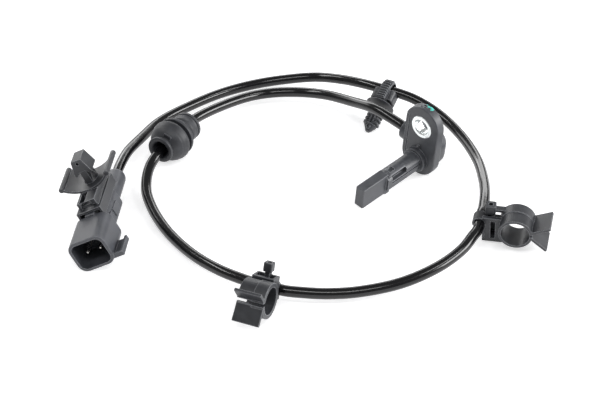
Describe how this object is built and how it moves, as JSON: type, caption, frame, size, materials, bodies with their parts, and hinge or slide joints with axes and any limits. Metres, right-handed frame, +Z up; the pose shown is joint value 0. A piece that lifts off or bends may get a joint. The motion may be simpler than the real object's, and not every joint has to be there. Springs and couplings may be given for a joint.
{
  "type": "wheel speed sensor with lead",
  "caption": "Wheel speed sensor with a flanged head and flat probe blade, a moulded-on lead with a grommet, hose clips, a push-in clip, and a round-cornered plug with a mounting clip.",
  "frame": {"origin": "middle of the sensor head's box, on the level it rests on; the lead and what is on it lie around it", "axes": "-Y along the probe from the flange to the blade's tip, +X to the side away from the lead's exit, +Z up"},
  "size_m": [0.1987, 0.1966, 0.0368],
  "materials": {
    "sensor_plastic": "satin moulded glass-filled nylon, dark grey",
    "connector_plastic": "satin moulded glass-filled polyester, dark grey",
    "clip_plastic": "satin moulded nylon, near black",
    "grommet_rubber": "matt moulded rubber",
    "lead_jacket": "smooth glossy black jacket",
    "zinc_steel": "bright zinc plate",
    "tinned_brass": "bright tin plate over brass"
  },
  "bodies": {
    "root": {"sensor_housing": "sensor_plastic", "bolt_bushing": "zinc_steel", "cable": "lead_jacket", "grommet": "grommet_rubber", "hose_clip_front": "clip_plastic", "hose_clip_side": "clip_plastic", "fir_tree_clip": "clip_plastic", "connector_body": "connector_plastic", "contact_pin_left": "tinned_brass", "contact_pin_right": "tinned_brass", "connector_clip": "clip_plastic"}
  },
  "joints": []
}
